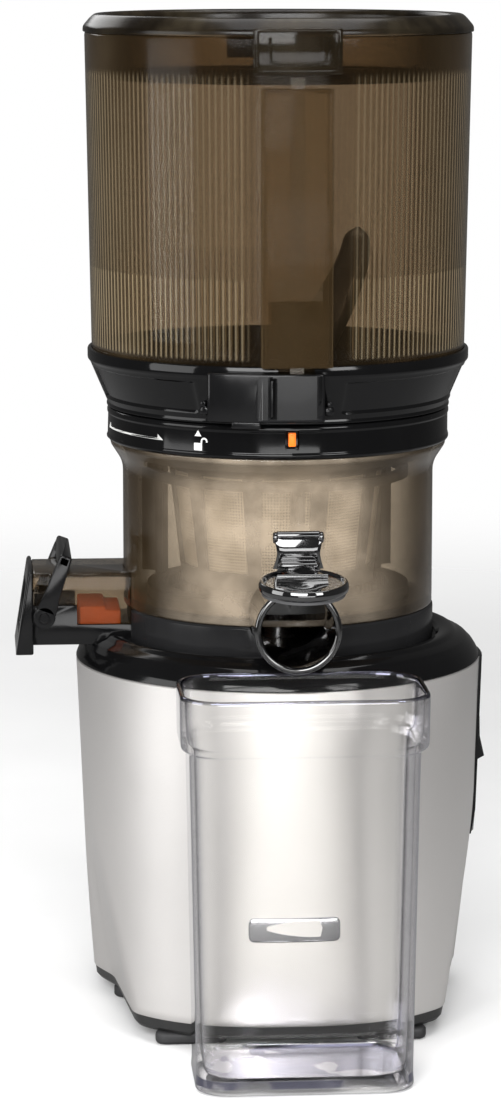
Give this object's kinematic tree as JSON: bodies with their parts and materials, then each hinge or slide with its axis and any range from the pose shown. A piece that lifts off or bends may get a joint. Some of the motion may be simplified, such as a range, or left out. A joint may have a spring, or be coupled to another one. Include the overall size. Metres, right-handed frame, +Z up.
{
  "type": "slow juicer",
  "caption": "Upright slow juicer: silver motor base, smoke-tinted juicing bowl and wide hopper with hinged lid, flip-up juice cap, side pulp outlet and a clear jug in front.",
  "frame": {"origin": "on the surface that the feet and the jug stand on, under the middle of the outline", "axes": "+Z up along the auger's drive axis, +X to the switch side, -Y to the spout and the jug"},
  "size_m": [0.217, 0.262, 0.455],
  "materials": {
    "base_shell": "satin silver paint",
    "top_cover": "glossy black",
    "bottom_plate": "matt black",
    "feet": "matt black rubber",
    "base_screws": "plain steel",
    "badge_plate": "polished, blank",
    "switch_bezel": "glossy black",
    "switch_housing": "matt dark grey",
    "cord_gland": "matt black rubber",
    "control_board": "green lacquer",
    "motor_mounts": "matt black rubber",
    "motor_end_caps": "cast",
    "motor_stator": "laminated steel",
    "motor_bearings": "ground steel",
    "gearbox_case": "cast",
    "gearbox_lid": "cast",
    "idler_pin": "ground steel",
    "output_bearing": "ground steel",
    "drive_seal": "matt black rubber",
    "motor_rotor": "turned steel",
    "cooling_fan": "matt black",
    "motor_pinion": "hardened steel",
    "idler_gear": "sintered steel",
    "output_gear": "sintered steel",
    "output_shaft": "ground steel",
    "rocker_switch": "semi-gloss black",
    "bowl": "clear smoke-brown plastic",
    "bowl_foot_ring": "dark grey, semi-gloss",
    "locking_ring": "glossy black",
    "bowl_seal": "silicone",
    "juice_spout": "glossy black",
    "cap_pin": "plain steel",
    "pulp_duct": "glossy black",
    "pulp_duct_cover": "clear smoke-brown plastic",
    "pulp_end_plate": "glossy black",
    "pulp_lever_pins": "plain steel",
    "pulp_plug": "orange silicone",
    "strainer_frame": "dark grey",
    "strainer_mesh": "perforated steel",
    "lock_indicator": "orange-red",
    "juice_cap": "very glossy black",
    "cap_seal": "silicone",
    "pulp_lever": "glossy black",
    "auger": "dark grey, semi-gloss",
    "cutting_wing": "dark grey, semi-gloss",
    "brush_frame": "matt black",
    "brush_wipers": "silicone",
    "brush_pinion": "natural acetal",
    "hopper_base": "glossy black",
    "hopper": "clear smoke-brown plastic",
    "front_block": "semi-gloss black",
    "rod_channel": "clear smoke-brown plastic",
    "rod_spring": "spring steel",
    "lid_hinge_bracket": "glossy black",
    "lid_hinge_pin": "plain steel",
    "interlock_rod": "matt black",
    "lid": "dark smoke, glossy",
    "lid_tab": "dark smoke, glossy",
    "jug": "clear plastic"
  },
  "bodies": {
    "base": {"base_shell": "base_shell", "top_cover": "top_cover", "bottom_plate": "bottom_plate", "feet": "feet", "base_screws": "base_screws", "badge_plate": "badge_plate", "switch_bezel": "switch_bezel", "switch_housing": "switch_housing", "cord_gland": "cord_gland", "control_board": "control_board", "motor_mounts": "motor_mounts", "motor_end_caps": "motor_end_caps", "motor_stator": "motor_stator", "motor_bearings": "motor_bearings", "gearbox_case": "gearbox_case", "gearbox_lid": "gearbox_lid", "idler_pin": "idler_pin", "output_bearing": "output_bearing", "drive_seal": "drive_seal"},
    "rotor": {"motor_rotor": "motor_rotor", "cooling_fan": "cooling_fan", "motor_pinion": "motor_pinion"},
    "idler": {"idler_gear": "idler_gear"},
    "output": {"output_gear": "output_gear", "output_shaft": "output_shaft"},
    "rocker": {"rocker_switch": "rocker_switch"},
    "bowl": {"bowl": "bowl", "bowl_foot_ring": "bowl_foot_ring", "locking_ring": "locking_ring", "bowl_seal": "bowl_seal", "juice_spout": "juice_spout", "cap_pin": "cap_pin", "pulp_duct": "pulp_duct", "pulp_duct_cover": "pulp_duct_cover", "pulp_end_plate": "pulp_end_plate", "pulp_lever_pins": "pulp_lever_pins", "pulp_plug": "pulp_plug", "strainer_frame": "strainer_frame", "strainer_mesh": "strainer_mesh", "lock_indicator": "lock_indicator"},
    "juice_cap": {"juice_cap": "juice_cap", "cap_seal": "cap_seal"},
    "pulp_lever": {"pulp_lever": "pulp_lever"},
    "auger": {"auger": "auger", "cutting_wing": "cutting_wing"},
    "brush": {"brush_frame": "brush_frame", "brush_wipers": "brush_wipers"},
    "brush_pinion": {"brush_pinion": "brush_pinion"},
    "hopper": {"hopper_base": "hopper_base", "hopper": "hopper", "front_block": "front_block", "rod_channel": "rod_channel", "rod_spring": "rod_spring", "lid_hinge_bracket": "lid_hinge_bracket", "lid_hinge_pin": "lid_hinge_pin"},
    "interlock_rod": {"interlock_rod": "interlock_rod"},
    "lid": {"lid": "lid", "lid_tab": "lid_tab"},
    "jug": {"jug": "jug"}
  },
  "joints": [
    {"name": "motor_spin", "type": "hinge", "parent": "base", "child": "rotor", "pos_m": [0.0125, 0.032, 0.15], "axis": [0, 0, 1], "continuous": true},
    {"name": "idler_spin", "type": "hinge", "parent": "base", "child": "idler", "pos_m": [0.0125, 0.0695, 0.15], "axis": [0, 0, 1], "continuous": true},
    {"name": "output_spin", "type": "hinge", "parent": "base", "child": "output", "pos_m": [0.0125, 0.032, 0.15], "axis": [0, 0, 1], "continuous": true},
    {"name": "switch_rock", "type": "hinge", "parent": "base", "child": "rocker", "pos_m": [0.0945, 0.032, 0.121], "axis": [0, 1, 0], "range_deg": [0, 14]},
    {"name": "bowl_lift", "type": "slide", "parent": "base", "child": "bowl", "axis": [0, 0, 1], "range_m": [0, 0.06]},
    {"name": "auger_spin", "type": "hinge", "parent": "bowl", "child": "auger", "pos_m": [0.0125, 0.032, 0.15], "axis": [0, 0, 1], "continuous": true},
    {"name": "brush_pinion_spin", "type": "hinge", "parent": "bowl", "child": "brush_pinion", "pos_m": [0.0125, 0.064, 0.15], "axis": [0, 0, 1], "continuous": true},
    {"name": "brush_spin", "type": "hinge", "parent": "bowl", "child": "brush", "pos_m": [0.0125, 0.032, 0.15], "axis": [0, 0, 1], "continuous": true},
    {"name": "juice_cap_hinge", "type": "hinge", "parent": "bowl", "child": "juice_cap", "pos_m": [0.0125, -0.08, 0.216], "axis": [1, 0, 0], "range_deg": [0, 84]},
    {"name": "pulp_lever_hinge", "type": "hinge", "parent": "bowl", "child": "pulp_lever", "pos_m": [-0.0955, 0.032, 0.185], "axis": [0, -1, 0], "range_deg": [0, 100]},
    {"name": "hopper_lift", "type": "slide", "parent": "bowl", "child": "hopper", "axis": [0, 0, 1], "range_m": [0, 0.11]},
    {"name": "interlock_press", "type": "slide", "parent": "hopper", "child": "interlock_rod", "axis": [0, 0, 1], "range_m": [-0.006, 0], "stiffness_N_per_m": 150, "deforming": ["rod_spring"]},
    {"name": "lid_hinge", "type": "hinge", "parent": "hopper", "child": "lid", "pos_m": [0.0125, 0.126, 0.446], "axis": [-1, 0, 0], "range_deg": [0, 100]},
    {"name": "jug_slide", "type": "slide", "parent": "base", "child": "jug", "axis": [0, -1, 0], "range_m": [0, 0.1]}
  ],
  "couplings": [
    {"joint": "idler_spin", "follows": "motor_spin", "ratio": -0.25},
    {"joint": "output_spin", "follows": "motor_spin", "ratio": 0.0625},
    {"joint": "auger_spin", "follows": "motor_spin", "ratio": 0.0625},
    {"joint": "brush_pinion_spin", "follows": "motor_spin", "ratio": -0.0375},
    {"joint": "brush_spin", "follows": "motor_spin", "ratio": -0.014423}
  ]
}
